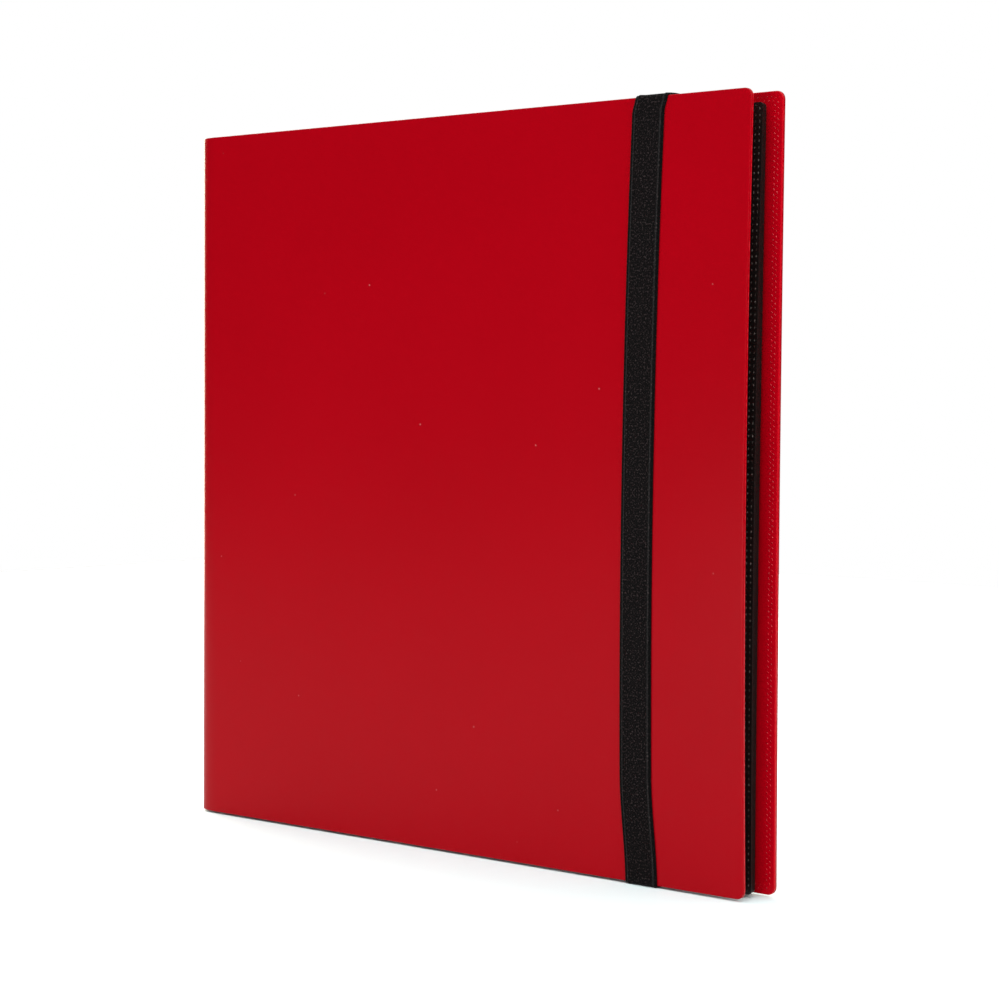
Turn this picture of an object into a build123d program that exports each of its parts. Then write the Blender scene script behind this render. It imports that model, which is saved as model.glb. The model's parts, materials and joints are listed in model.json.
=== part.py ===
"""A trading card binder: two padded covers on a flexible spine, twenty twelve-pocket leaves and an elastic strap.

Millimetres. +Z is up, +X runs from the spine to the fore edge and the front cover is on the -Y side.
The binder stands closed on its bottom edge. The origin is at the centre of the bottom of its box.
"""
from build123d import *
from math import atan2, degrees, hypot, pi, sqrt
import os

# Covers
cover_height = 330.0        # bottom edge to top edge
cover_width = 330.0         # outer face of the spine to the fore edge of the back cover
cover_thickness = 2.0       # skin, board and liner together
skin_recess = 0.5           # depth of the board's bed in the skin, and again in the liner
weld_border = 5.0           # width of the welded edge, where skin meets liner
corner_radius = 3.6         # fore edge corners
front_setback = 4.3         # how far the front cover stops short of the back cover

# Spine
spine_depth = 25.0          # over both covers, closed and empty, at the spine
fore_edge_depth = 18.0      # over both covers at the fore edge
shoulder_length = 16.0      # how far each rolled shoulder reaches along its cover
shoulder_depth = 8.0        # and along the spine
web_thickness = 1.2         # skin and liner where no board lies between them
board_gap = 1.0             # from the end of a board to the shoulder

# Leaves
leaf_count = 20
leaf_thickness = 0.12       # black centre sheet
film_thickness = 0.06       # clear pocket film on each side
leaf_pitch_spine = 0.45     # from leaf to leaf where they are bound
leaf_pitch_fore = 0.26      # and at their fore edges
leaf_top_margin = 5.0       # below the covers' top edge
leaf_bottom_margin = 0.5    # above the covers' bottom edge
leaf_fore_margin = 7.5      # short of the back cover's fore edge
leaf_back_gap = 2.0         # from the last leaf's fore edge to the back liner
leaf_corner_radius = 1.5
gutter_length = 5.0         # flexible stretch between the binding strip and the stiff leaf
binding_thickness = 0.8
binding_clearance = 0.02    # keeps a tilted gutter out of the binding strip's face
pocket_columns = 4
pocket_gutter_margin = 14.0     # from the binding to the first column
pocket_border = 7.0             # from the last column, top and bottom to the leaf's edges
pocket_slit = 1.5               # between columns, where cards slide in

# Elastic strap
strap_width = 16.5
strap_thickness = 1.0
strap_from_fore_edge = 52.5     # its centre line, from the front cover's fore edge
strap_bow = 3.0                 # how far its middle is drawn towards the spine
strap_slot_inset = 25.0         # slots through the back skin, from the top and bottom edges
slot_height = 1.4
slot_clearance = 0.3            # each side of the strap in its slot
tail_length = 20.0              # end of the strap that is sealed inside the back cover
tail_clearance = 0.5            # round the tail in the board

# Places that follow from the sizes
skin_thickness = cover_thickness / 2
board_thickness = 2 * skin_recess
spine_x = -cover_width / 2
fore_x = cover_width / 2
shoulder_x = spine_x + shoulder_length
front_y = -(spine_depth + strap_thickness) / 2
back_y = front_y + spine_depth
bottom_z = strap_thickness
top_z = bottom_z + cover_height
middle_z = bottom_z + cover_height / 2

front_fore_x = fore_x - front_setback
front_fore_y = back_y - fore_edge_depth
wedge_run = front_fore_x - shoulder_x
wedge_rise = front_fore_y - front_y
wedge_degrees = degrees(atan2(wedge_rise, wedge_run))
front_length = hypot(wedge_run, wedge_rise)
back_length = fore_x - shoulder_x

# In each cover's plane X runs to the fore edge and Z points in, from the outer face to the leaves.
front_plane = Plane(
    origin=(shoulder_x, front_y, middle_z),
    x_dir=(wedge_run, wedge_rise, 0),
    z_dir=(-wedge_rise, wedge_run, 0),
)
back_plane = Plane(origin=(shoulder_x, back_y, middle_z), x_dir=(1, 0, 0), z_dir=(0, -1, 0))

# The spine's plane has Z pointing in and Y up.
spine_width = spine_depth - 2 * shoulder_depth
spine_centre_y = (front_y + back_y) / 2
spine_plane = Plane(origin=(spine_x, spine_centre_y, middle_z), x_dir=(0, 1, 0), z_dir=(1, 0, 0))

# A rolled shoulder opens like a hinge whose axis lies this far in from both outer faces.
shoulder_sum = 3 * (shoulder_length + shoulder_depth)
shoulder_root = sqrt(
    (3 * shoulder_length + shoulder_depth) * (shoulder_length + 3 * shoulder_depth)
)
shoulder_arc = pi * (shoulder_sum - shoulder_root) / 4
hinge_inset = (shoulder_length + shoulder_depth - shoulder_arc) / 2

leaf_bottom_z = bottom_z + leaf_bottom_margin
leaf_top_z = top_z - leaf_top_margin
leaf_height = leaf_top_z - leaf_bottom_z
leaf_middle_z = (leaf_bottom_z + leaf_top_z) / 2
pivot_x = spine_x + cover_thickness + binding_thickness
leaf_fore_x = fore_x - leaf_fore_margin
last_leaf_fore_y = back_y - cover_thickness - leaf_back_gap

strap_centre = front_length - strap_from_fore_edge
strap_slot_offset = cover_height / 2 - strap_slot_inset
strap_centre_x = shoulder_x + strap_centre * wedge_run / front_length

os.makedirs("parts", exist_ok=True)


def write(node, part):
    """Labels a finished piece and writes its STEP file."""
    part.label = node
    export_step(part, f"parts/{node}.step")


def panel_outline(length):
    """The outline of a cover, with its two fore edge corners rounded."""
    with BuildSketch() as outline:
        Rectangle(length, cover_height, align=(Align.MIN, Align.CENTER))
        fillet(outline.vertices().group_by(Axis.X)[-1], radius=corner_radius)
    return outline.sketch


def board_outline(length):
    """The board's outline inside a cover's welded border."""
    with BuildSketch() as outline:
        with Locations((board_gap, 0)):
            Rectangle(
                length - weld_border - board_gap,
                cover_height - 2 * weld_border,
                align=(Align.MIN, Align.CENTER),
            )
    return outline.sketch


def cover_skin(plane, length):
    """The outer layer of a cover, with the bed for its board pressed into the inner face."""
    with BuildPart() as skin:
        with BuildSketch(plane):
            add(panel_outline(length))
        extrude(amount=skin_thickness)
        with BuildSketch(plane.offset(skin_thickness - skin_recess)):
            add(board_outline(length))
        extrude(amount=skin_recess, mode=Mode.SUBTRACT)
    return skin


def cover_liner(plane, length):
    """The inner layer of a cover, with the other half of the board's bed."""
    with BuildPart() as liner:
        with BuildSketch(plane.offset(skin_thickness)):
            add(panel_outline(length))
        extrude(amount=cover_thickness - skin_thickness)
        with BuildSketch(plane.offset(skin_thickness)):
            add(board_outline(length))
        extrude(amount=skin_recess, mode=Mode.SUBTRACT)
    return liner


def cover_board(plane, length):
    """The stiff board that fills both beds."""
    with BuildPart() as board:
        with BuildSketch(plane.offset(skin_thickness - skin_recess)):
            add(board_outline(length))
        extrude(amount=board_thickness)
    return board


# Front cover
front_outer_skin = cover_skin(front_plane, front_length)
write("front_outer_skin", front_outer_skin.part)
front_board = cover_board(front_plane, front_length)
write("front_board", front_board.part)
front_liner = cover_liner(front_plane, front_length)
write("front_liner", front_liner.part)

# Back cover: the strap's ends pass through two slots in its skin and lie in notches in its board.
slot_places = [(back_length - (fore_x - strap_centre_x), side * strap_slot_offset) for side in (1, -1)]
tail_places = [(x, z - tail_length / 2 * (1 if z > 0 else -1)) for x, z in slot_places]

with BuildPart() as back_outer_skin:
    add(cover_skin(back_plane, back_length).part)
    with BuildSketch(back_plane):
        with Locations(*slot_places):
            Rectangle(strap_width + 2 * slot_clearance, slot_height)
    extrude(amount=skin_thickness, mode=Mode.SUBTRACT)
write("back_outer_skin", back_outer_skin.part)

with BuildPart() as back_board:
    add(cover_board(back_plane, back_length).part)
    with BuildSketch(back_plane.offset(skin_thickness - skin_recess)):
        with Locations(*tail_places):
            Rectangle(
                strap_width + 2 * tail_clearance,
                tail_length + slot_height + 2 * tail_clearance,
            )
    extrude(amount=board_thickness, mode=Mode.SUBTRACT)
write("back_board", back_board.part)

back_liner = cover_liner(back_plane, back_length)
write("back_liner", back_liner.part)

# Spine: a narrow stiffener between skin and liner
stiffener_width = spine_width - 2 * board_gap
stiffener_height = cover_height - 2 * weld_border

with BuildPart() as spine_skin:
    with BuildSketch(spine_plane):
        Rectangle(spine_width, cover_height)
    extrude(amount=skin_thickness)
    with BuildSketch(spine_plane.offset(skin_thickness - skin_recess)):
        Rectangle(stiffener_width, stiffener_height)
    extrude(amount=skin_recess, mode=Mode.SUBTRACT)
write("spine_skin", spine_skin.part)

with BuildPart() as spine_stiffener:
    with BuildSketch(spine_plane.offset(skin_thickness - skin_recess)):
        Rectangle(stiffener_width, stiffener_height)
    extrude(amount=board_thickness)
write("spine_stiffener", spine_stiffener.part)

with BuildPart() as spine_liner:
    with BuildSketch(spine_plane.offset(skin_thickness)):
        Rectangle(spine_width, cover_height)
    extrude(amount=cover_thickness - skin_thickness)
    with BuildSketch(spine_plane.offset(skin_thickness)):
        Rectangle(stiffener_width, stiffener_height)
    extrude(amount=skin_recess, mode=Mode.SUBTRACT)
write("spine_liner", spine_liner.part)


def hinge_web(spine_end_y, cover_outer_y, cover_tangent, inward):
    """A rolled shoulder, from the edge of the spine to the edge of a cover. inward points from the outer face in."""
    spine_end = Vector(spine_x, spine_end_y)
    cover_end = Vector(shoulder_x, cover_outer_y)
    spine_tangent = Vector(0, cover_outer_y - spine_end_y).normalized()
    inner_spine_end = spine_end + Vector(web_thickness, 0)
    inner_cover_end = cover_end + inward * web_thickness
    with BuildPart() as web:
        with BuildSketch(Plane.XY.offset(bottom_z)):
            with BuildLine():
                Spline(spine_end, cover_end, tangents=(spine_tangent, cover_tangent))
                Line(cover_end, inner_cover_end)
                Spline(inner_cover_end, inner_spine_end, tangents=(-cover_tangent, -spine_tangent))
                Line(inner_spine_end, spine_end)
            make_face()
        extrude(amount=cover_height)
    return web


# Flexible shoulders between the spine and each cover
front_hinge_web = hinge_web(
    front_y + shoulder_depth, front_y, front_plane.x_dir, front_plane.z_dir
)
write("front_hinge_web", front_hinge_web.part)
back_hinge_web = hinge_web(
    back_y - shoulder_depth, back_y, back_plane.x_dir, back_plane.z_dir
)
write("back_hinge_web", back_hinge_web.part)

# Binding strip: welded to the spine liner, and every leaf to it
with BuildPart() as page_binding_strip:
    with BuildSketch(Plane(origin=(spine_x + cover_thickness, spine_centre_y, leaf_middle_z),
                           x_dir=(0, 1, 0), z_dir=(1, 0, 0))):
        Rectangle(leaf_count * leaf_pitch_spine, leaf_height)
    extrude(amount=binding_thickness)
write("page_binding_strip", page_binding_strip.part)


def leaf_plane(number):
    """A leaf's middle plane. X runs from its bound edge to its fore edge and Y down. Leaf 1 is behind the front cover."""
    from_last = leaf_count - number
    bound_y = spine_centre_y + ((leaf_count - 1) / 2 - from_last) * leaf_pitch_spine
    fore_y = last_leaf_fore_y - leaf_thickness / 2 - from_last * leaf_pitch_fore
    run = leaf_fore_x - pivot_x
    return Plane(
        origin=(pivot_x, bound_y, leaf_middle_z),
        x_dir=(run, fore_y - bound_y, 0),
        z_dir=(bound_y - fore_y, run, 0),
    )


leaf_length = leaf_fore_x - pivot_x
column_pitch = (leaf_length - pocket_gutter_margin - pocket_border) / pocket_columns
film_width = column_pitch - pocket_slit
film_height = leaf_height - 2 * pocket_border
film_places = [(pocket_gutter_margin + column * column_pitch, 0) for column in range(pocket_columns)]

# Gutters: the flexible edge of each leaf, all in one group
with BuildPart() as leaf_gutters:
    for number in range(1, leaf_count + 1):
        with BuildSketch(leaf_plane(number)):
            with Locations((binding_clearance, 0)):
                Rectangle(
                    gutter_length - binding_clearance,
                    leaf_height,
                    align=(Align.MIN, Align.CENTER),
                )
        extrude(amount=leaf_thickness / 2, both=True)
write("leaf_gutters", leaf_gutters.part)

# Leaves: a black sheet each, and eight strips of clear film that make its twenty-four pockets
for number in range(1, leaf_count + 1):
    plane = leaf_plane(number)
    with BuildPart() as leaf_sheet:
        with BuildSketch(plane) as sheet_outline:
            with Locations((gutter_length, 0)):
                Rectangle(
                    leaf_length - gutter_length,
                    leaf_height,
                    align=(Align.MIN, Align.CENTER),
                )
            fillet(sheet_outline.vertices().group_by(Axis.X)[-1], radius=leaf_corner_radius)
        extrude(amount=leaf_thickness / 2, both=True)
    write(f"leaf_{number:02d}_sheet", leaf_sheet.part)

    with BuildPart() as leaf_pockets:
        for side in (-1, 1):
            with BuildSketch(plane.offset(side * leaf_thickness / 2)):
                with Locations(*film_places):
                    Rectangle(film_width, film_height, align=(Align.MIN, Align.CENTER))
            extrude(amount=side * film_thickness)
    write(f"leaf_{number:02d}_pockets", leaf_pockets.part)

# Elastic strap: over the front cover, round the top and bottom edges and onto the back cover
half_height = cover_height / 2 + strap_thickness
half_strap = strap_width / 2


def front_face_y(x):
    """Where the front cover's outer face is, at a place along the width."""
    return front_y + (x - shoulder_x) * wedge_rise / wedge_run


with BuildPart() as elastic_strap:
    with BuildSketch(front_plane):
        with BuildLine():
            ThreePointArc(
                (strap_centre - half_strap, half_height),
                (strap_centre - half_strap - strap_bow, 0),
                (strap_centre - half_strap, -half_height),
            )
            Line((strap_centre - half_strap, -half_height), (strap_centre + half_strap, -half_height))
            ThreePointArc(
                (strap_centre + half_strap, -half_height),
                (strap_centre + half_strap - strap_bow, 0),
                (strap_centre + half_strap, half_height),
            )
            Line((strap_centre + half_strap, half_height), (strap_centre - half_strap, half_height))
        make_face()
    extrude(amount=-strap_thickness)
    for wrap_z in (0, top_z):
        with BuildSketch(Plane.XY.offset(wrap_z)):
            with BuildLine():
                Polyline(
                    (strap_centre_x - half_strap, front_face_y(strap_centre_x - half_strap)),
                    (strap_centre_x + half_strap, front_face_y(strap_centre_x + half_strap)),
                    (strap_centre_x + half_strap, back_y + strap_thickness),
                    (strap_centre_x - half_strap, back_y + strap_thickness),
                    close=True,
                )
            make_face()
        extrude(amount=strap_thickness)
    back_run = strap_slot_inset + slot_height / 2 + strap_thickness
    for side in (1, -1):
        with BuildSketch(back_plane):
            with Locations((slot_places[0][0], side * (half_height - back_run / 2))):
                Rectangle(strap_width, back_run)
        extrude(amount=-strap_thickness)
write("elastic_strap", elastic_strap.part)

# Strap tails: the sealed ends, each with a neck that fills its slot
for name, (slot, tail) in {
    "strap_tail_upper": (slot_places[0], tail_places[0]),
    "strap_tail_lower": (slot_places[1], tail_places[1]),
}.items():
    with BuildPart() as strap_tail:
        with BuildSketch(back_plane):
            with Locations(slot):
                Rectangle(strap_width, slot_height - slot_clearance)
        extrude(amount=skin_thickness)
        with BuildSketch(back_plane.offset(skin_thickness - skin_recess)):
            with Locations(tail):
                Rectangle(strap_width, tail_length + slot_height - slot_clearance)
        extrude(amount=board_thickness)
    write(name, strap_tail.part)

print("wedge", round(wedge_degrees, 3), "front hinge at", round(spine_x + hinge_inset, 3),
      round(front_y + hinge_inset, 3), "back hinge at", round(back_y - hinge_inset, 3))
print("strap centre", round(strap_centre_x, 3), "leaf length", round(leaf_length, 3), "height", leaf_height)
for number in (1, 10, 11, leaf_count):
    print("leaf", number, "pivot", leaf_plane(number).origin)
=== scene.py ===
"""A trading card binder: a welded red case on a flexible spine, twenty pocket leaves and an elastic strap.

Metres, in the frame's own axes: +Z is up, +X runs from the spine to the fore edge, and the front cover is
on the -Y side.
"""
import json
import math

import bmesh
import bpy
from mathutils import Matrix, Quaternion, Vector
from mathutils.geometry import interpolate_bezier

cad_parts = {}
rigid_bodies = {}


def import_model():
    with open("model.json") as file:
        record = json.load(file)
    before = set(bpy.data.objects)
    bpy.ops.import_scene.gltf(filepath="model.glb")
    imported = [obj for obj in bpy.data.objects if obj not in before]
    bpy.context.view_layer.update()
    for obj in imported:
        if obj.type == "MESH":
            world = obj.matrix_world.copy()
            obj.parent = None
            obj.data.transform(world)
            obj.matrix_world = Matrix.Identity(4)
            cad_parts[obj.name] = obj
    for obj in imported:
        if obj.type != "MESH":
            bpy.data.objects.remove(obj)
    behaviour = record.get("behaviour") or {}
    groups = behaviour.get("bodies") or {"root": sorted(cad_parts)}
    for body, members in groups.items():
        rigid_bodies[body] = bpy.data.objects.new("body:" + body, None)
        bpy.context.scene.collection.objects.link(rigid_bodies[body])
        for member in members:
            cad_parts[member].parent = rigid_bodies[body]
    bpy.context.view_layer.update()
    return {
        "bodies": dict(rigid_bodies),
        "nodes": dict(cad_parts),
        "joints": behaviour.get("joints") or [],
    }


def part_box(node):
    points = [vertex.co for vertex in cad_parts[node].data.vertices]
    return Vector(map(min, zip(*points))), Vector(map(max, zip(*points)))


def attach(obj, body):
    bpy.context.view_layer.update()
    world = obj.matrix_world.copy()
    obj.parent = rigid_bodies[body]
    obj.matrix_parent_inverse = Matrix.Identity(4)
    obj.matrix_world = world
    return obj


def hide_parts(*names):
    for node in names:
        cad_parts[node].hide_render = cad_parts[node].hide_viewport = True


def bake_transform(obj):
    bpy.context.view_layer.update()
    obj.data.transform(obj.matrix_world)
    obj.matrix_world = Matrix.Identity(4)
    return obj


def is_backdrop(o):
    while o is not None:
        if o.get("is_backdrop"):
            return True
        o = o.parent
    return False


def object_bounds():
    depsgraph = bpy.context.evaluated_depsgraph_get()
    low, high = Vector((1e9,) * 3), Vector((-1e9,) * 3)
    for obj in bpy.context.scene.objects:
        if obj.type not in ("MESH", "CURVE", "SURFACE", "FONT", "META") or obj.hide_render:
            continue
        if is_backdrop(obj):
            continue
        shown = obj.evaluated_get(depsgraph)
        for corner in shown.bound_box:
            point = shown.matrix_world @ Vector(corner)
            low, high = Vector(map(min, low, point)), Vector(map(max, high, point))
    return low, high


for leftover in list(bpy.data.objects):
    bpy.data.objects.remove(leftover)
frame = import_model()
nodes = frame["nodes"]

# Spine stiffener: a narrow strip of grey board, cut from solid board.
# It lies loose in the bed pressed into the spine, out of sight.


def material(name, colour, roughness, specular=0.5):
    """A new principled material, with its node tree and its shader."""
    made = bpy.data.materials.new(name)
    made.use_nodes = True
    shader = made.node_tree.nodes["Principled BSDF"]
    shader.inputs["Base Color"].default_value = (*colour, 1)
    shader.inputs["Roughness"].default_value = roughness
    shader.inputs["Specular IOR Level"].default_value = specular
    return made, made.node_tree, shader


def texture(tree, kind, coordinates="Object", **sockets):
    """A texture node that reads the piece's own coordinates."""
    place = tree.nodes.new("ShaderNodeTexCoord")
    made = tree.nodes.new(kind)
    tree.links.new(place.outputs[coordinates], made.inputs["Vector"])
    for socket, value in sockets.items():
        made.inputs[socket.replace("_", " ")].default_value = value
    return made


def ramp(tree, source, stops):
    """A colour ramp from a value, as (position, colour) stops."""
    made = tree.nodes.new("ShaderNodeValToRGB")
    tree.links.new(source, made.inputs["Fac"])
    marks = made.color_ramp.elements
    while len(marks) < len(stops):
        marks.new(1)
    for mark, (position, colour) in zip(marks, stops):
        mark.position = position
        mark.color = (*colour, 1)
    return made.outputs["Color"]


def mix(tree, kind, factor, first, second):
    """Mixes two colours by a kind of blend."""
    made = tree.nodes.new("ShaderNodeMix")
    made.data_type = "RGBA"
    made.blend_type = kind
    made.inputs["Factor"].default_value = factor
    tree.links.new(first, made.inputs["A"])
    tree.links.new(second, made.inputs["B"])
    return made.outputs["Result"]


def bump(tree, shader, height, distance, strength=1.0):
    """Raises the surface by a texture's value."""
    made = tree.nodes.new("ShaderNodeBump")
    made.inputs["Distance"].default_value = distance
    made.inputs["Strength"].default_value = strength
    tree.links.new(height, made.inputs["Height"])
    tree.links.new(made.outputs["Normal"], shader.inputs["Normal"])


def mottle(tree, shader, scale, detail, stops):
    """Colours a material by a fine noise, and returns the noise's value."""
    noise = texture(tree, "ShaderNodeTexNoise", Scale=scale, Detail=detail).outputs["Fac"]
    tree.links.new(ramp(tree, noise, stops), shader.inputs["Base Color"])
    return noise


def grey(value):
    """A colour with no hue."""
    return (value, value, value)


greyboard, tree, shader = material("greyboard", (0.22, 0.2, 0.17), 0.9, 0.2)
fibres = mottle(tree, shader, 900.0, 4.0, [(0.3, (0.16, 0.145, 0.12)), (0.7, (0.28, 0.26, 0.22))])
bump(tree, shader, fibres, 0.0001)


def repaint(names, finish):
    """Gives CAD nodes that stay as they are a better material."""
    for name in names:
        nodes[name].data.materials.clear()
        nodes[name].data.materials.append(finish)


repaint(["spine_stiffener"], greyboard)

# Outer wrap: one sheet of satin red polypropylene round both covers and the spine, in two halves that
# meet down the middle of the spine. It is welded to the lining all round, and rolls freely at the shoulders.

layer_thickness = 0.001         # the wrap, and again the lining
bed_depth = 0.0005              # pressed into each for the board
weld_border = 0.005
board_gap = 0.001
fore_corner_radius = 0.0036
shoulder_handle = 0.44          # of the chord, for the curve of a rolled shoulder
shoulder_squeeze = 0.6          # thickness at the shoulders, where no board lies
squeeze_length = 0.003
shoulder_cuts = 26
curve_points = 97
front_swell = 0.0026            # the full block of leaves bows the middle of the front cover's fore edge out
back_swell = 0.0009             # and draws the back cover's the same way
swell_cuts = 14
outer_rim_radius = 0.00042
weld_line_radius = 0.00012
support_inset = 0.0009          # where the rim's rounding has died out

spine_low, spine_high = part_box("spine_skin")
front_low, front_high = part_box("front_outer_skin")
back_low, back_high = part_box("back_outer_skin")
case_height = spine_high.z - spine_low.z
case_middle = (spine_high.z + spine_low.z) / 2
shoulder_x = back_low.x


class HalfCase:
    """The outer face of half the case in section, from the middle of the spine to the fore edge of a cover.

    A place on it is its distance from the shoulder, positive towards the fore edge, and a depth inwards.
    """

    def __init__(self, cover_start, cover_fore, spine_end, side, swell):
        self.cover_start, self.spine_end, self.side, self.swell = cover_start, spine_end, side, swell
        self.along = (cover_fore - cover_start).normalized()
        self.length = (cover_fore - cover_start).length
        self.away = Vector((0, cover_start.y - spine_end.y, 0)).normalized()
        reach = shoulder_handle * (cover_start - spine_end).length
        self.curve = interpolate_bezier(
            cover_start, cover_start - self.along * reach,
            spine_end + self.away * reach, spine_end, curve_points,
        )
        self.reached = [0.0]
        for before, after in zip(self.curve, self.curve[1:]):
            self.reached.append(self.reached[-1] + (after - before).length)
        self.arc = self.reached[-1]
        self.spine_half = (spine_high.y - spine_low.y) / 2

    def inward(self, tangent):
        """The direction into the case from its outer face."""
        return Vector((-tangent.y, tangent.x, 0)) * self.side

    def bow(self, distance, height):
        """How far a cover stands out of its plane, towards the front."""
        up = (height - case_middle) / (case_height / 2)
        return Vector((0, -self.swell, 0)) * (max(0.0, distance) / self.length) ** 2 * max(0.0, 1 - up * up)

    def place(self, distance, depth, height):
        """The point in the frame of a place on the flat sheet."""
        if distance >= 0:
            point, tangent = self.cover_start + self.along * distance + self.bow(distance, height), self.along
        elif distance <= -self.arc:
            point, tangent = self.spine_end + self.away * (distance + self.arc), self.away
        else:
            step = next(i for i, s in enumerate(self.reached) if s >= -distance)
            step = max(step, 1)
            part = (-distance - self.reached[step - 1]) / (self.reached[step] - self.reached[step - 1])
            point = self.curve[step - 1].lerp(self.curve[step], part)
            share = (step - 1 + part) / (len(self.curve) - 1)
            tangent = self.curve_tangent(share)
        into = min(-distance, distance + self.arc) / squeeze_length
        ease = max(0.0, min(1.0, into))
        ease = ease * ease * (3 - 2 * ease)
        thin = 1 - (1 - shoulder_squeeze) * ease
        return point + self.inward(tangent) * depth * thin + Vector((0, 0, height))

    def curve_tangent(self, share):
        """The shoulder's direction at a share of its points, from the spine to the cover."""
        last = len(self.curve) - 1
        at = share * last
        low, high = max(0, int(at) - 1), min(last, int(at) + 2)
        return (self.curve[low] - self.curve[high]).normalized()

    def roll(self, bm):
        """Moves a flat sheet, made as (distance, depth, height), on to the case."""
        for v in bm.verts:
            v.co = self.place(*v.co)


front_half = HalfCase(
    Vector((shoulder_x, front_low.y, 0)),
    Vector((front_high.x, front_high.y - layer_thickness, 0)),
    Vector((spine_low.x, spine_low.y, 0)),
    1,
    front_swell,
)
back_half = HalfCase(
    Vector((shoulder_x, back_high.y, 0)),
    Vector((back_high.x, back_high.y, 0)),
    Vector((spine_low.x, spine_high.y, 0)),
    -1,
    back_swell,
)


def cut(bm, point, normal):
    """Cuts the whole mesh along a plane."""
    bmesh.ops.bisect_plane(
        bm, geom=bm.verts[:] + bm.edges[:] + bm.faces[:], dist=1e-7, plane_co=point, plane_no=normal
    )


def flat_panel(bm, low, high, bottom, top, depth, radius):
    """A rectangular face with its two corners on the high side rounded."""
    corners = [(low, bottom), (high, bottom), (high, top), (low, top)]
    made = [bm.verts.new((x, depth, z)) for x, z in corners]
    bm.faces.new(made)
    bmesh.ops.bevel(
        bm, geom=made[1:3], offset=radius, offset_type="OFFSET", affect="VERTICES",
        segments=8, profile=0.5, material=-1,
    )


def swell_grid(bm, length, bottom, top, cuts):
    """Cuts a flat sheet finely enough to bow."""
    for number in range(1, cuts):
        share = number / cuts
        cut(bm, (length * share, 0, 0), (1, 0, 0))
        cut(bm, (0, 0, bottom + (top - bottom) * share), (0, 0, 1))


def thicken(bm, faces, step):
    """Extrudes faces of a flat sheet through its depth, and returns the new faces."""
    grown = bmesh.ops.extrude_face_region(bm, geom=faces)["geom"]
    bmesh.ops.translate(bm, verts=[g for g in grown if isinstance(g, bmesh.types.BMVert)], vec=(0, step, 0))
    return [g for g in grown if isinstance(g, bmesh.types.BMFace)]


def case_layer(half, face_depth, inwards):
    """One layer of half the case as a closed flat sheet, with its visible face at face_depth."""
    bm = bmesh.new()
    spine_middle = -half.arc - half.spine_half
    bottom, top = case_middle - case_height / 2, case_middle + case_height / 2
    flat_panel(bm, spine_middle, half.length, bottom, top, face_depth, fore_corner_radius)
    for number in range(shoulder_cuts + 1):
        cut(bm, (-half.arc * number / shoulder_cuts, 0, 0), (1, 0, 0))
    bed_bottom, bed_top = bottom + weld_border, top - weld_border
    bed_start, bed_end = board_gap, half.length - weld_border
    stiffener_end = -half.arc - board_gap
    for distance in (bed_start, bed_end, stiffener_end, half.length - support_inset):
        cut(bm, (distance, 0, 0), (1, 0, 0))
    for height in (bed_bottom, bed_top, bottom + support_inset, top - support_inset):
        cut(bm, (0, 0, height), (0, 0, 1))
    swell_grid(bm, half.length, bottom, top, swell_cuts)
    border = []
    for face in thicken(bm, bm.faces[:], inwards * bed_depth):
        middle = face.calc_center_median()
        in_bed = bed_start < middle.x < bed_end or middle.x < stiffener_end
        if not (in_bed and bed_bottom < middle.z < bed_top):
            border.append(face)
    thicken(bm, border, inwards * (layer_thickness - bed_depth))
    bmesh.ops.delete(bm, geom=[f for f in border if f.is_valid], context="FACES_ONLY")
    bmesh.ops.recalc_face_normals(bm, faces=bm.faces)

    def rim(depth):
        """The edges round the outline at one depth, leaving out the cut down the spine's middle."""
        return [
            e for e in bm.edges
            if all(abs(v.co.y - depth) < 1e-6 for v in e.verts)
            and len(e.link_faces) == 2
            and e.calc_face_angle(0) > 1
            and not all(abs(v.co.x - spine_middle) < 1e-6 for v in e.verts)
            and max(abs(e.verts[0].co.z - case_middle), abs(e.verts[0].co.x - half.length / 2))
            > min(case_height / 2, half.length / 2) - fore_corner_radius - 1e-4
            and not (bed_start - 1e-5 <= e.verts[0].co.x <= bed_end + 1e-5
                     and bed_bottom - 1e-5 <= e.verts[0].co.z <= bed_top + 1e-5)
        ]

    for depth, radius, segments in (
        (face_depth, outer_rim_radius, 4),
        (face_depth + inwards * layer_thickness, weld_line_radius, 2),
    ):
        bmesh.ops.bevel(
            bm, geom=rim(depth), offset=radius, offset_type="OFFSET", affect="EDGES",
            segments=segments, profile=0.5, material=-1,
        )
    return bm


def finish_mesh(bm, name, finish, sharp=35, recalculate=True):
    """Turns a bmesh into a piece with smooth shading and sharp corners."""
    if recalculate:
        bmesh.ops.recalc_face_normals(bm, faces=bm.faces)
    mesh = bpy.data.meshes.new(name)
    bm.to_mesh(mesh)
    bm.free()
    mesh.shade_smooth()
    mesh.set_sharp_from_angle(angle=math.radians(sharp))
    mesh.materials.append(finish)
    piece = bpy.data.objects.new(name, mesh)
    bpy.context.scene.collection.objects.link(piece)
    return piece


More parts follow.
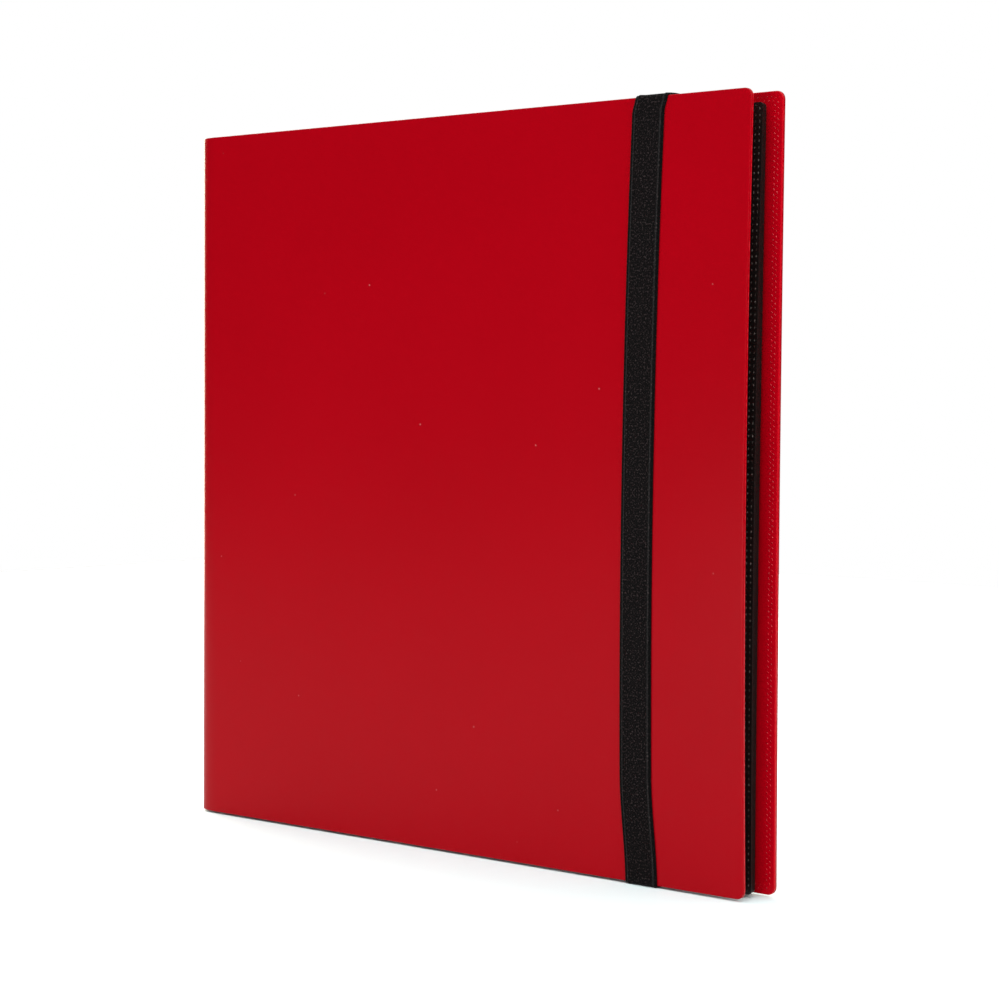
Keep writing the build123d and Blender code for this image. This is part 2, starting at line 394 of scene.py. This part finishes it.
def blend_shoulder(piece):
    """Bakes a layer of the case's placement into its mesh."""
    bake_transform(piece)


red_plastic, tree, shader = material("satin_red_plastic", (0.28, 0.0, 0.0038), 0.28, 0.055)
cloud = texture(tree, "ShaderNodeTexNoise", Scale=9.0, Detail=2.0)
red_shade = ramp(tree, cloud.outputs["Fac"], [(0.3, (0.273, 0.0, 0.0036)), (0.7, (0.287, 0.0, 0.004))])
dust = texture(tree, "ShaderNodeTexVoronoi", Scale=55.0, Randomness=1.0)
speck = ramp(tree, dust.outputs["Distance"], [(0.012, grey(0.22)), (0.03, grey(0))])
tree.links.new(mix(tree, "ADD", 0.35, red_shade, speck), shader.inputs["Base Color"])
grain = texture(tree, "ShaderNodeTexNoise", Scale=2600.0, Detail=2.0)
bump(tree, shader, grain.outputs["Fac"], 0.000006, 0.5)

front_wrap_mesh = case_layer(front_half, 0.0, 1)
front_half.roll(front_wrap_mesh)
front_wrap = finish_mesh(front_wrap_mesh, "front_wrap", red_plastic)
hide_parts("front_outer_skin", "front_hinge_web", "spine_skin")
blend_shoulder(front_wrap)

back_wrap_mesh = case_layer(back_half, 0.0, 1)
back_half.roll(back_wrap_mesh)
back_wrap = finish_mesh(back_wrap_mesh, "back_wrap", red_plastic)
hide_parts("back_outer_skin", "back_hinge_web", "spine_skin")
blend_shoulder(back_wrap)

# Lining: a sheet of the same red plastic inside the case, welded to the wrap round its edges. Its red is
# painted brighter than the wrap's, as painted light for the light falling on it.
# The welding tool leaves two rows of short slanted dashes round the border, and one beside each board.

lining_depth = 0.002
dash_pitch = 0.00227
dash_length = 0.00135
dash_width = 0.00055
dash_height = 0.00009
dash_slant = math.radians(-38)
dash_rows = (0.0023, 0.0039)    # in from the edge
tightest_turn = 0.0015          # of a row of weld marks round a corner


def dash(bm, centre, direction, normal, length, width, height, slant, sides):
    """A low lozenge with sloping sides, standing on a face at centre, turned from the row's direction."""
    across = normal.cross(direction)
    frame_at = Matrix((direction, across, normal)).transposed().to_4x4()
    frame_at.translation = centre + normal * height * 0.4
    shape = frame_at @ Matrix.Rotation(slant, 4, "Z") @ Matrix.Diagonal((length / 2, width / 2, height, 1))
    bmesh.ops.create_cone(
        bm, cap_ends=True, cap_tris=False, segments=sides, radius1=1, radius2=0.55, depth=1.2, matrix=shape
    )


def border_row(inset, low, high, bottom, top, radius, pitch, phase):
    """Evenly spaced places round an inset border, open on the low side, as (x, z, direction)."""
    r = max(radius - inset, tightest_turn)
    left, right, under, over = low, high - inset, bottom + inset, top - inset
    flat, upright, turn = right - r - left, over - under - 2 * r, r * math.pi / 2
    total = 2 * flat + upright + 2 * turn
    count = int(total / pitch)
    for number in range(count):
        at = (number + phase) * total / count
        if at < flat:
            yield left + at, under, Vector((1, 0, 0))
        elif at < flat + turn:
            a = (at - flat) / r
            sine, cosine = math.sin(a), math.cos(a)
            yield right - r + r * sine, under + r - r * cosine, Vector((cosine, 0, sine))
        elif at < flat + turn + upright:
            yield right, under + r + at - flat - turn, Vector((0, 0, 1))
        elif at < total - flat:
            a = (at - flat - turn - upright) / r
            sine, cosine = math.sin(a), math.cos(a)
            yield right - r + r * cosine, over - r + r * sine, Vector((-sine, 0, cosine))
        else:
            yield left + total - at, over, Vector((-1, 0, 0))


def painted_highlight_from(bm, first):
    """Puts the faces from one number on, the weld marks, in the piece's second material, with its painted
    highlight.
    """
    bm.faces.ensure_lookup_table()
    for face in bm.faces[first:]:
        face.material_index = 1


def lining(half):
    """Half the lining, with its weld marks, rolled on to the case."""
    bm = case_layer(half, lining_depth, -1)
    bottom, top = case_middle - case_height / 2, case_middle + case_height / 2
    into_page = Vector((0, 1, 0))
    plain_faces = len(bm.faces)
    for row, inset in enumerate(dash_rows):
        row_places = border_row(
            inset, -half.arc - half.spine_half + dash_pitch / 2, half.length, bottom, top,
            fore_corner_radius + 0.002, dash_pitch, row / 2,
        )
        for x, z, direction in row_places:
            dash(bm, Vector((x, lining_depth, z)), direction, into_page,
                 dash_length, dash_width, dash_height, dash_slant, 6)
    for number in range(int((case_height - 2 * dash_rows[1]) / dash_pitch)):
        z = bottom + dash_rows[1] + (number + 0.5) * dash_pitch
        dash(bm, Vector((-board_gap, lining_depth, z)), Vector((0, 0, 1)), into_page,
             dash_length, dash_width, dash_height, dash_slant, 6)
    painted_highlight_from(bm, plain_faces)
    half.roll(bm)
    return bm


# Painted light: the lining is the wrap's plastic with a brighter red painted in, for the light that falls on
# it.
red_lining_painted_light, tree, shader = material("red_lining_plastic_painted_light", (0.4, 0.0, 0.0055), 0.28, 0.055)
mottle(tree, shader, 9.0, 2.0, [(0.3, (0.39, 0.0, 0.0053)), (0.7, (0.41, 0.0, 0.0057))])
grain = texture(tree, "ShaderNodeTexNoise", Scale=2600.0, Detail=2.0)
bump(tree, shader, grain.outputs["Fac"], 0.000006, 0.5)

# Weld dashes: glossier than the lining, and painted a lighter, pinker red as a painted highlight.
red_weld_painted_highlight, tree, shader = material("red_weld_mark_painted_highlight", (0.4, 0.02, 0.03), 0.2, 0.22)
mottle(tree, shader, 600.0, 1.0, [(0.42, (0.35, 0.001, 0.005)), (0.66, (0.5, 0.016, 0.024))])

front_lining = finish_mesh(lining(front_half), "front_lining", red_lining_painted_light)
front_lining.data.materials.append(red_weld_painted_highlight)
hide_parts("front_liner", "front_hinge_web", "spine_liner")
blend_shoulder(front_lining)

back_lining = finish_mesh(lining(back_half), "back_lining", red_lining_painted_light)
back_lining.data.materials.append(red_weld_painted_highlight)
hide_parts("back_liner", "back_hinge_web", "spine_liner")
blend_shoulder(back_lining)

# Boards: a sheet of grey board in each cover, cut from solid board.
# Each lies loose in the bed between wrap and lining, and the back one is notched for the strap's sealed ends.

bed_clearance = 0.00002
tail_notch_width = 0.0175
tail_notch_height = 0.0222
board_corner_radius = 0.0005


def cover_board(half, notches):
    """A board in a cover's bed, with the given notches as (distance, height) of their middles."""
    bm = bmesh.new()
    low, high = board_gap + bed_clearance, half.length - weld_border - bed_clearance
    bottom = case_middle - case_height / 2 + weld_border + bed_clearance
    top = case_middle + case_height / 2 - weld_border - bed_clearance
    flat_panel(bm, low, high, bottom, top, bed_depth + bed_clearance, board_corner_radius)
    swell_grid(bm, half.length, bottom, top, swell_cuts)
    for x, z in notches:
        for side in (-1, 1):
            cut(bm, (x + side * tail_notch_width / 2, 0, 0), (1, 0, 0))
            cut(bm, (0, 0, z + side * tail_notch_height / 2), (0, 0, 1))
    removed = []
    for face in bm.faces:
        middle = face.calc_center_median()
        if any(abs(middle.x - x) < tail_notch_width / 2 and abs(middle.z - z) < tail_notch_height / 2
               for x, z in notches):
            removed.append(face)
    bmesh.ops.delete(bm, geom=removed, context="FACES")
    thicken(bm, bm.faces[:], 2 * (layer_thickness - bed_depth - bed_clearance))
    half.roll(bm)
    return bm


notch_places = []
for name in ("strap_tail_upper", "strap_tail_lower"):
    low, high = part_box(name)
    notch_places.append(((low.x + high.x) / 2 - back_half.cover_start.x, (low.z + high.z) / 2))
for half, name, notches in ((front_half, "front", []), (back_half, "back", notch_places)):
    sheet = finish_mesh(cover_board(half, notches), name + "_greyboard", greyboard)
    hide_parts(name + "_board")
    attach(sheet, name + "_cover")

# Binding strip: a band of black plastic welded to the spine's lining, with every leaf welded to it.

page_black, tree, shader = material("black_page_plastic", (0.006, 0.0052, 0.005), 0.34, 0.25)
pebble = mottle(tree, shader, 1500.0, 3.0, [(0.3, (0.0042, 0.0034, 0.0032)), (0.75, (0.0085, 0.007, 0.0066))])
bump(tree, shader, pebble, 0.00001, 0.6)
repaint(["page_binding_strip"], page_black)

# Weld dots: glossier than the sheet, and painted much lighter as a painted highlight.
black_weld_painted_highlight, tree, shader = material("black_weld_mark_painted_highlight", (0.1, 0.085, 0.075), 0.25, 0.6)
mottle(tree, shader, 700.0, 1.0, [(0.4, (0.02, 0.016, 0.014)), (0.62, (0.14, 0.12, 0.11))])

# Leaves: a black sheet each. The first few millimetres, where a leaf bends at the binding, are cut finely, and
# two rows of weld dots run round the other three sides, where the edge is sealed.

leaf_thickness = 0.00012
leaf_corner_radius = 0.0015
gutter_length = 0.005
gutter_cuts = 10
leaf_cuts = 30                  # each way, fine enough that a film never sinks into its leaf
leaf_dot_rows = (0.0013, 0.0033)
leaf_dot_pitch = 0.0026
leaf_dot_length = 0.0014
leaf_dot_width = 0.0007
leaf_dot_height = 0.00006
leaf_swells = (0.0020, 0.0009)  # of the first leaf's fore edge and of the last one's
leaf_lean = 0.0008              # the block leans out at its top
leaf_slip = 0.0017              # and its first leaf stands out further than its last

leaf_bodies = sorted(b for b in frame["bodies"] if b.startswith("leaf_"))
leaf_turns = {j["child"]: j for j in frame["joints"] if j["child"] in leaf_bodies}
first_low, first_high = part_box("leaf_01_sheet")


def leaf_frame(body):
    """The matrix to its place from a leaf's own flat frame, which starts at its bound edge, and its length."""
    pivot = Vector(leaf_turns[body]["pos_m"])
    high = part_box(body + "_sheet")[1]
    fore = Vector((high.x, high.y - leaf_thickness / 2, 0))
    bound = Vector((pivot.x, pivot.y, 0))
    along = (fore - bound).normalized()
    back = Vector((-along.y, along.x, 0))
    matrix = Matrix((along, back, Vector((0, 0, 1)))).transposed().to_4x4()
    matrix.translation = bound
    return matrix, (fore - bound).length


leaf_length = leaf_frame("leaf_01")[1]
leaf_bottom, leaf_top = first_low.z, first_high.z


def bow_leaf(bm, number):
    """Bows a flat leaf with the covers on either side of it."""
    share = (number - 1) / (len(leaf_bodies) - 1)
    swell = leaf_swells[0] + (leaf_swells[1] - leaf_swells[0]) * share
    middle, half = (leaf_bottom + leaf_top) / 2, (leaf_top - leaf_bottom) / 2
    for v in bm.verts:
        up = (v.co.z - middle) / half
        out = max(0.0, v.co.x - gutter_length) / (leaf_length - gutter_length)
        v.co.y -= swell * out ** 2 * (1 - up * up)
        v.co.x += (leaf_lean * up + leaf_slip * (1 - share)) * out


leaf_mesh = bmesh.new()
flat_panel(leaf_mesh, 0.00002, leaf_length, leaf_bottom, leaf_top, -leaf_thickness / 2, leaf_corner_radius)
for number in range(1, gutter_cuts + 1):
    cut(leaf_mesh, (gutter_length * number / gutter_cuts, 0, 0), (1, 0, 0))
swell_grid(leaf_mesh, leaf_length, leaf_bottom, leaf_top, leaf_cuts)
thicken(leaf_mesh, leaf_mesh.faces[:], leaf_thickness)
plain_faces = len(leaf_mesh.faces)
for side in (-1, 1):
    face_normal = Vector((0, side, 0))
    for row, inset in enumerate(leaf_dot_rows):
        row_places = border_row(
            inset, gutter_length + 0.002, leaf_length, leaf_bottom, leaf_top,
            leaf_corner_radius + 0.0015, leaf_dot_pitch, row / 2 + 0.25,
        )
        for x, z, direction in row_places:
            dash(leaf_mesh, Vector((x, side * leaf_thickness / 2, z)), direction, face_normal,
                 leaf_dot_length, leaf_dot_width, leaf_dot_height, 0.0, 4)
painted_highlight_from(leaf_mesh, plain_faces)
bmesh.ops.recalc_face_normals(leaf_mesh, faces=leaf_mesh.faces)

for number, body in enumerate(leaf_bodies, 1):
    place, length = leaf_frame(body)
    leaf = leaf_mesh.copy()
    bow_leaf(leaf, number)
    bmesh.ops.transform(leaf, matrix=place, verts=leaf.verts)
    sheet = finish_mesh(leaf, body + "_page", page_black, recalculate=False)
    sheet.data.materials.append(black_weld_painted_highlight)
    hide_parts(body + "_sheet", "leaf_gutters")
    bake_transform(sheet)
leaf_mesh.free()

# Pocket film: four clear strips on each side of a leaf, sealed to it along their fore edge and across
# in three, so that each strip makes three pockets, open towards the binding.

pocket_columns = 4
pocket_rows = 3
pocket_gutter_margin = 0.014
pocket_border = 0.007
pocket_slit = 0.0015
film_gap = 0.00002              # from a leaf to its film, so that neither shows through the other
film_thickness = 0.00003
film_corner_radius = 0.001
seal_pitch = 0.0026
seal_length = 0.0016
seal_width = 0.0008
seal_height = 0.000015
seal_inset = 0.0012

clear_film, tree, shader = material("clear_pocket_film", (0.26, 0.27, 0.28), 0.12, 0.5)
shader.inputs["Alpha"].default_value = 0.14
ripple = texture(tree, "ShaderNodeTexNoise", Scale=60.0, Detail=1.0)
bump(tree, shader, ripple.outputs["Fac"], 0.0004, 0.25)

film_bottom, film_top = leaf_bottom + pocket_border, leaf_top - pocket_border
column_pitch = (leaf_length - pocket_gutter_margin - pocket_border) / pocket_columns
film_mesh = bmesh.new()
for column in range(pocket_columns):
    start = pocket_gutter_margin + column * column_pitch
    end = start + column_pitch - pocket_slit
    for side in (-1, 1):
        strip = bmesh.new()
        face_at = side * (leaf_thickness / 2 + film_gap)
        flat_panel(strip, start, end, film_bottom, film_top, face_at, film_corner_radius)
        swell_grid(strip, leaf_length, leaf_bottom, leaf_top, leaf_cuts)
        thicken(strip, strip.faces[:], side * film_thickness)
        face_normal = Vector((0, side, 0))
        surface = face_at + side * film_thickness
        seals = []
        for number in range(int((film_top - film_bottom) / seal_pitch)):
            seals.append((end - seal_inset, film_bottom + (number + 0.5) * seal_pitch, Vector((0, 0, 1))))
        for row in range(1, pocket_rows):
            z = film_bottom + (film_top - film_bottom) * row / pocket_rows
            for number in range(int((end - start) / seal_pitch) - 1):
                seals.append((start + (number + 0.75) * seal_pitch, z, Vector((1, 0, 0))))
        for x, z, direction in seals:
            dash(strip, Vector((x, surface, z)), direction, face_normal,
                 seal_length, seal_width, seal_height, 0.0, 4)
        bmesh.ops.recalc_face_normals(strip, faces=strip.faces)
        strip_mesh = bpy.data.meshes.new("film_strip")
        strip.to_mesh(strip_mesh)
        strip.free()
        film_mesh.from_mesh(strip_mesh)
        bpy.data.meshes.remove(strip_mesh)

for number, body in enumerate(leaf_bodies, 1):
    film = film_mesh.copy()
    bow_leaf(film, number)
    bmesh.ops.transform(film, matrix=leaf_frame(body)[0], verts=film.verts)
    pockets = finish_mesh(film, body + "_film", clear_film, recalculate=False)
    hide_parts(body + "_pockets")
    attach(pockets, body)
film_mesh.free()

# Strap: a band of black knitted elastic with a raised cord along each edge. It runs over the front cover,
# round the top and bottom edges, and through two slots in the back cover, where its ends are sealed.

strap_width = 0.0165
strap_thickness = 0.001
strap_bow = 0.0015              # drawn towards the spine in its middle
strap_lean = 0.0016             # off its slots in front: out at the top and in at the bottom
strap_lift = 0.0007             # over the top edge, where it doesn't lie flat
# Each end, upper 1 and lower -1, has slipped to the fore edge: how far, and from what share of half the height.
strap_kinks = {1: (0.0015, 0.96), -1: (0.0027, 0.72)}
strap_body_height = 0.00078
strap_edge_height = 0.0005
cord_inset = 0.0016             # from the strap's edge to the middle of its cord
cord_half_width = 0.0004
knit_flats = (5.2, 2.6, 0, -2.6, -5.2)      # millimetres across, where the flat middle is divided
slot_inset = 0.025
turn_radius = 0.0012            # at the strap's middle layer
slot_turn_radius = 0.0006
turn_steps = 8
run_step = 0.002


def calculate(tree, operation, value, other=None):
    """A maths node on a value, with another value or a number."""
    made = tree.nodes.new("ShaderNodeMath")
    made.operation = operation
    tree.links.new(value, made.inputs[0])
    if isinstance(other, float):
        made.inputs[1].default_value = other
    elif other is not None:
        tree.links.new(other, made.inputs[1])
    return made.outputs["Value"]


knit, tree, shader = material("black_knit_elastic", (0.011, 0.011, 0.011), 0.85, 0.055)
shader.inputs["Sheen Weight"].default_value = 0.02
shader.inputs["Sheen Roughness"].default_value = 0.5
stitches = []
for turn in (45, -45):
    place = tree.nodes.new("ShaderNodeTexCoord")
    mapping = tree.nodes.new("ShaderNodeMapping")
    mapping.inputs["Rotation"].default_value = (0, 0, math.radians(turn))
    wave = tree.nodes.new("ShaderNodeTexWave")
    wave.inputs["Scale"].default_value = 0.36
    wave.inputs["Distortion"].default_value = 3.5
    wave.inputs["Detail"].default_value = 3.0
    wave.inputs["Detail Scale"].default_value = 1.4
    tree.links.new(place.outputs["UV"], mapping.inputs["Vector"])
    tree.links.new(mapping.outputs["Vector"], wave.inputs["Vector"])
    stitches.append(wave.outputs["Fac"])
loop = calculate(tree, "MULTIPLY", stitches[0], stitches[1])
fuzz = texture(tree, "ShaderNodeTexNoise", "UV", Scale=1.25, Detail=2.0)
yarn = calculate(tree, "MULTIPLY", loop, fuzz.outputs["Fac"])
yarn_colour = ramp(tree, fuzz.outputs["Fac"], [
    (0.44, (0.0006, 0.0004, 0.0004)), (0.56, (0.0036, 0.0018, 0.002)), (0.72, (0.032, 0.022, 0.022)),
])
band_place = tree.nodes.new("ShaderNodeTexCoord")
band_split = tree.nodes.new("ShaderNodeSeparateXYZ")
tree.links.new(band_place.outputs["UV"], band_split.inputs["Vector"])
from_middle = calculate(tree, "ABSOLUTE", band_split.outputs["X"])
across = calculate(tree, "DIVIDE", from_middle, strap_width * 1000 / 2)
# The raised cords are painted lighter, as a painted highlight.
cord_painted_highlight = ramp(tree, across, [
    (0.76, grey(0.0)), (0.79, grey(0.009)), (0.83, grey(0.009)), (0.86, grey(0.0)),
])
with_cord_highlight = mix(tree, "ADD", 1.0, yarn_colour, cord_painted_highlight)
# Past the cords the edges are painted darker, as painted shade.
edge_painted_shade = ramp(tree, across, [(0.85, grey(1.0)), (0.88, grey(0.3))])
tree.links.new(mix(tree, "MULTIPLY", 1.0, with_cord_highlight, edge_painted_shade), shader.inputs["Base Color"])
bump(tree, shader, yarn, 0.0003, 0.7)

strap_x = (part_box("strap_tail_upper")[0].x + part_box("strap_tail_upper")[1].x) / 2
front_at_strap = front_half.cover_start + front_half.along * (
    (strap_x - front_half.cover_start.x) / front_half.along.x
)
back_face, case_top = back_high.y, spine_high.z
front_slope = front_half.along.y / front_half.along.x


def strap_section():
    """Half the strap's outline from its middle, as (across, height over the case).

    It rises over the cord, drops behind it and rounds off at the thin edge.
    """
    half = strap_width / 2
    cord = half - cord_inset
    return [
        (cord - 2.0 * cord_half_width, strap_body_height),
        (cord - 0.9 * cord_half_width, strap_body_height + 0.00004),
        (cord - 0.55 * cord_half_width, strap_thickness - 0.00005),
        (cord, strap_thickness),
        (cord + 0.55 * cord_half_width, strap_thickness - 0.00005),
        (cord + 0.95 * cord_half_width, strap_body_height - 0.00012),
        (cord + 1.3 * cord_half_width, strap_body_height - 0.0001),
        (half - 0.0003, strap_edge_height + 0.0002),
        (half, strap_edge_height),
        (half, 0.00025),
        (half - 0.00025, 0.0),
    ]


def strap_half(side):
    """Half the strap, from its slot in the back cover to the middle of the front, built as an upper half."""
    bm = bmesh.new()
    right = strap_section()
    left = [(-x, h) for x, h in reversed(right)]
    middle = [(x / 1000, strap_body_height) for x in knit_flats]
    outline = right[::-1] + middle + left[::-1]
    mid = strap_thickness / 2
    slot_z = case_top - slot_inset
    start_y = back_face - 0.0007
    ring = [bm.verts.new((strap_x + x, start_y, slot_z - (h - mid))) for x, h in outline]
    edges = [bm.edges.new((ring[i], ring[(i + 1) % len(ring)])) for i in range(len(ring))]

    def run(geom, move):
        """Draws the outline straight on, in short steps."""
        steps = max(1, round(Vector(move).length / run_step))
        made = bmesh.ops.spin(
            bm, geom=geom, cent=(0, 0, 0), axis=(1, 0, 0), dvec=Vector(move) / steps, angle=0,
            steps=steps, use_merge=False, use_duplicate=False,
        )
        return made["geom_last"]

    def turn(geom, centre, degrees):
        """Draws the outline round a bend."""
        made = bmesh.ops.spin(
            bm, geom=geom, cent=centre, axis=(1, 0, 0), dvec=(0, 0, 0), angle=math.radians(degrees),
            steps=turn_steps, use_merge=False, use_duplicate=False,
        )
        return made["geom_last"]

    front_face = front_at_strap.y
    out_to = back_face + mid - slot_turn_radius
    last = run(edges, (0, out_to - start_y, 0))
    last = turn(last, (strap_x, out_to, slot_z + slot_turn_radius), 90)
    up_to = case_top + mid - turn_radius
    last = run(last, (0, 0, up_to - (slot_z + slot_turn_radius)))
    last = turn(last, (strap_x, back_face + mid - turn_radius, up_to), 90)
    over_to = front_face - mid + turn_radius
    last = run(last, (0, over_to - (back_face + mid - turn_radius), 0))
    last = turn(last, (strap_x, over_to, up_to), 90)
    run(last, (0, 0, case_middle - up_to))
    bmesh.ops.holes_fill(bm, edges=[e for e in bm.edges if len(e.link_faces) == 1], sides=0)
    bmesh.ops.recalc_face_normals(bm, faces=bm.faces)
    uv = bm.loops.layers.uv.new("knit")
    for face in bm.faces:
        on_top = abs(face.normal.z) > 0.7
        for corner in face.loops:
            x, y, z = corner.vert.co
            corner[uv].uv = ((x - strap_x) * 1000, (y if on_top else z) * 1000)
    for v in bm.verts:
        reach = max(0.0, min(1.0, (back_face - v.co.y) / (back_face - front_face)))
        height = (v.co.z - case_middle) / (case_height / 2)
        if side > 0 and 0 < reach and height > 0.99:
            v.co.z += strap_lift * math.sin(math.pi * min(1.0, reach))
        if reach > 0.5:
            v.co.y += (v.co.x - strap_x) * front_slope * reach
        if reach == 1:
            v.co.x -= strap_bow * max(0.0, 1 - height * height)
        v.co.x += side * strap_lean * min(1.0, height) * reach
        kink, kink_from = strap_kinks[side]
        if reach == 0:
            kink_from = 1 - slot_inset / (case_height / 2)
        share = max(0.0, min(1.0, (height - kink_from) / (1 - kink_from)))
        v.co.x += kink * share * share * (3 - 2 * share)
        if reach == 1:
            v.co += front_half.bow((v.co.x - front_half.cover_start.x) / front_half.along.x, v.co.z)
    return bm


for name, side in (("strap_upper", 1), ("strap_lower", -1)):
    band = strap_half(side)
    if side < 0:
        about_middle = Matrix.Translation((0, 0, -case_middle))
        bmesh.ops.scale(band, vec=(1, 1, -1), verts=band.verts, space=about_middle)
    piece = finish_mesh(band, name, knit, sharp=50)
    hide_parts("elastic_strap")
    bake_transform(piece)
repaint(["strap_tail_upper", "strap_tail_lower"], knit)

# Studio: a pale floor, five soft lights and a sky with a dark band that the covers mirror.
# The low fill lights the gap under the covers, and the glow from behind warms the floor and the spine.

floor_mesh = bmesh.new()
bmesh.ops.create_grid(floor_mesh, x_segments=8, y_segments=8, size=1.5)
floor_paint, tree, shader = material("studio_floor", (0.8, 0.93, 0.93), 0.6, 0.1)
floor_data = bpy.data.meshes.new("studio_floor")
floor_mesh.to_mesh(floor_data)
floor_mesh.free()
floor_data.materials.append(floor_paint)
floor = bpy.data.objects.new("studio_floor", floor_data)
bpy.context.scene.collection.objects.link(floor)
floor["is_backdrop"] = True

world = bpy.data.worlds.new("studio")
bpy.context.scene.world = world
world.use_nodes = True
tree = world.node_tree
tree.nodes.clear()
where = tree.nodes.new("ShaderNodeTexCoord")
split = tree.nodes.new("ShaderNodeSeparateXYZ")
tree.links.new(where.outputs["Generated"], split.inputs["Vector"])
half_up = tree.nodes.new("ShaderNodeMath")
half_up.operation = "MULTIPLY_ADD"
half_up.inputs[1].default_value = 0.5
half_up.inputs[2].default_value = 0.5
tree.links.new(split.outputs["Z"], half_up.inputs[0])
sky = ramp(tree, half_up.outputs["Value"], [
    (0.0, grey(1.0)), (0.43, grey(1.0)), (0.47, grey(0.03)),
    (0.62, grey(0.03)), (0.78, grey(1.0)), (1.0, grey(1.1)),
])
around = tree.nodes.new("ShaderNodeBackground")
tree.links.new(sky, around.inputs["Color"])
around.inputs["Strength"].default_value = 1.0
seen = tree.nodes.new("ShaderNodeBackground")
seen.inputs["Color"].default_value = (1, 1, 1, 1)
seen.inputs["Strength"].default_value = 1.0
path = tree.nodes.new("ShaderNodeLightPath")
choose = tree.nodes.new("ShaderNodeMixShader")
tree.links.new(path.outputs["Is Camera Ray"], choose.inputs["Fac"])
tree.links.new(around.outputs["Background"], choose.inputs[1])
tree.links.new(seen.outputs["Background"], choose.inputs[2])
world_out = tree.nodes.new("ShaderNodeOutputWorld")
tree.links.new(choose.outputs["Shader"], world_out.inputs["Surface"])


def softbox(name, location, target, width, height, power, colour=(1, 1, 1)):
    """A rectangular lamp that faces its target."""
    light = bpy.data.lights.new(name, "AREA")
    light.shape = "RECTANGLE"
    light.size, light.size_y = width, height
    light.energy = power
    light.color = colour
    lamp = bpy.data.objects.new(name, light)
    lamp.location = location
    lamp.rotation_mode = "QUATERNION"
    lamp.rotation_quaternion = (Vector(target) - Vector(location)).to_track_quat("-Z", "Y")
    bpy.context.scene.collection.objects.link(lamp)


softbox("key", (0.9, -1.6, 2.2), (0, 0, 0.15), 1.6, 1.6, 21)
softbox("overhead", (0, 0, 2.6), (0, 0, 0), 2.5, 2.5, 28)
softbox("side", (2.2, -0.4, 0.9), (0.15, 0, 0.17), 0.8, 1.4, 25)
softbox("low_fill", (0.05, -0.8, 0.07), (0.0, 0, 0.03), 0.7, 0.1, 2.4)
softbox("backdrop_glow", (-1.8, 0.9, 0.5), (-0.16, 0, 0.17), 1.6, 1.6, 70, (1, 0.93, 0.75))

camera_data = bpy.data.cameras.new("camera")
camera_data.sensor_width = 36
camera_data.lens = 85.82
camera_data.clip_start, camera_data.clip_end = 0.05, 40
camera = bpy.data.objects.new("camera", camera_data)
camera.location = (0.7203, -0.79718, 0.20626)
camera.rotation_mode = "QUATERNION"
look = Vector((-0.65831, 0.7515, -0.04351))
camera.rotation_quaternion = look.to_track_quat("-Z", "Y") @ Quaternion((0, 0, 1), math.radians(0.348))
bpy.context.scene.collection.objects.link(camera)
bpy.context.scene.camera = camera
bpy.context.scene.view_settings.view_transform = "Standard"

low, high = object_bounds()
